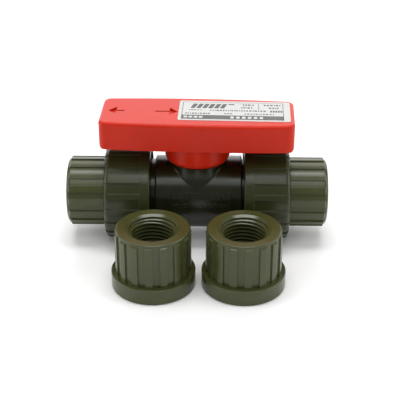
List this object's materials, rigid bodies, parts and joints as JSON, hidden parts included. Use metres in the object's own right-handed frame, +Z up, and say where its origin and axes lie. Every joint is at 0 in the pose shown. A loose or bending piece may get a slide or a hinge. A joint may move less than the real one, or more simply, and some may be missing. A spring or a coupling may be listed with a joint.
{
  "type": "three way valve",
  "caption": "Straight plastic ball valve with a quarter-turn box lever, a union nut and socket end on each side, and loose threaded ends that fit in their place.",
  "frame": {"origin": "on the surface that everything stands on, under the middle of the whole outline: X is 0 at the stem, and Y is midway between the back of the union nuts and the front of the loose ends' flanges", "axes": "+X along the pipe run to the right, +Y to the back, +Z up along the stem"},
  "size_m": [0.1208, 0.086, 0.063],
  "materials": {
    "body_plastic": "dark olive moulded plastic, satin gloss",
    "nut_plastic": "olive moulded plastic, satin",
    "connector_plastic": "lighter olive moulded plastic, satin",
    "handle_plastic": "red moulded plastic, semi-gloss",
    "label_film": "white printed film, satin",
    "ball_plastic": "dark olive, polished",
    "stem_plastic": "dark olive, turned",
    "seat_ptfe": "white low-friction plastic",
    "seal_rubber": "black rubber"
  },
  "bodies": {
    "valve_body": {"valve_body": "body_plastic", "seat_carrier": "body_plastic", "carrier_o_ring": "seal_rubber", "ball_seat_left": "seat_ptfe", "ball_seat_right": "seat_ptfe", "seat_cushion_left": "seal_rubber", "seat_cushion_right": "seal_rubber", "left_face_o_ring": "seal_rubber", "right_face_o_ring": "seal_rubber", "stem_thrust_washer": "seat_ptfe"},
    "stem": {"stem": "stem_plastic", "ball": "ball_plastic", "stem_o_ring_lower": "seal_rubber", "stem_o_ring_upper": "seal_rubber"},
    "handle": {"handle": "handle_plastic", "handle_label": "label_film"},
    "left_end": {"left_socket_end": "connector_plastic"},
    "left_nut": {"left_union_nut": "nut_plastic"},
    "right_end": {"right_socket_end": "connector_plastic"},
    "right_nut": {"right_union_nut": "nut_plastic"},
    "front_left_end": {"front_left_threaded_end": "connector_plastic"},
    "front_right_end": {"front_right_threaded_end": "connector_plastic"}
  },
  "joints": [
    {"name": "handle_turn", "type": "hinge", "parent": "valve_body", "child": "stem", "pos_m": [0, 0.021, 0.02186], "axis": [0, 0, -1], "range_deg": [-1.75, 88.25]},
    {"name": "handle_lift", "type": "slide", "parent": "stem", "child": "handle", "axis": [0, 0, 1], "range_m": [0, 0.03]},
    {"name": "left_end_slide", "type": "slide", "parent": "valve_body", "child": "left_end", "axis": [-1, 0, 0], "range_m": [0, 0.0105]},
    {"name": "left_nut_turn", "type": "hinge", "parent": "left_end", "child": "left_nut", "pos_m": [-0.032, 0.021, 0.02186], "axis": [-1, 0, 0], "range_deg": [0, 1260]},
    {"name": "right_end_slide", "type": "slide", "parent": "valve_body", "child": "right_end", "axis": [1, 0, 0], "range_m": [0, 0.0105]},
    {"name": "right_nut_turn", "type": "hinge", "parent": "right_end", "child": "right_nut", "pos_m": [0.032, 0.021, 0.02186], "axis": [1, 0, 0], "range_deg": [0, 1260]},
    {"name": "front_left_lift", "type": "slide", "parent": "valve_body", "child": "front_left_end", "axis": [0, 0, 1], "range_m": [0, 0.02]},
    {"name": "front_right_lift", "type": "slide", "parent": "valve_body", "child": "front_right_end", "axis": [0, 0, 1], "range_m": [0, 0.02]}
  ],
  "couplings": [
    {"joint": "left_end_slide", "follows": "left_nut_turn", "m_per_rad": 0.00047746},
    {"joint": "right_end_slide", "follows": "right_nut_turn", "m_per_rad": 0.00047746}
  ]
}
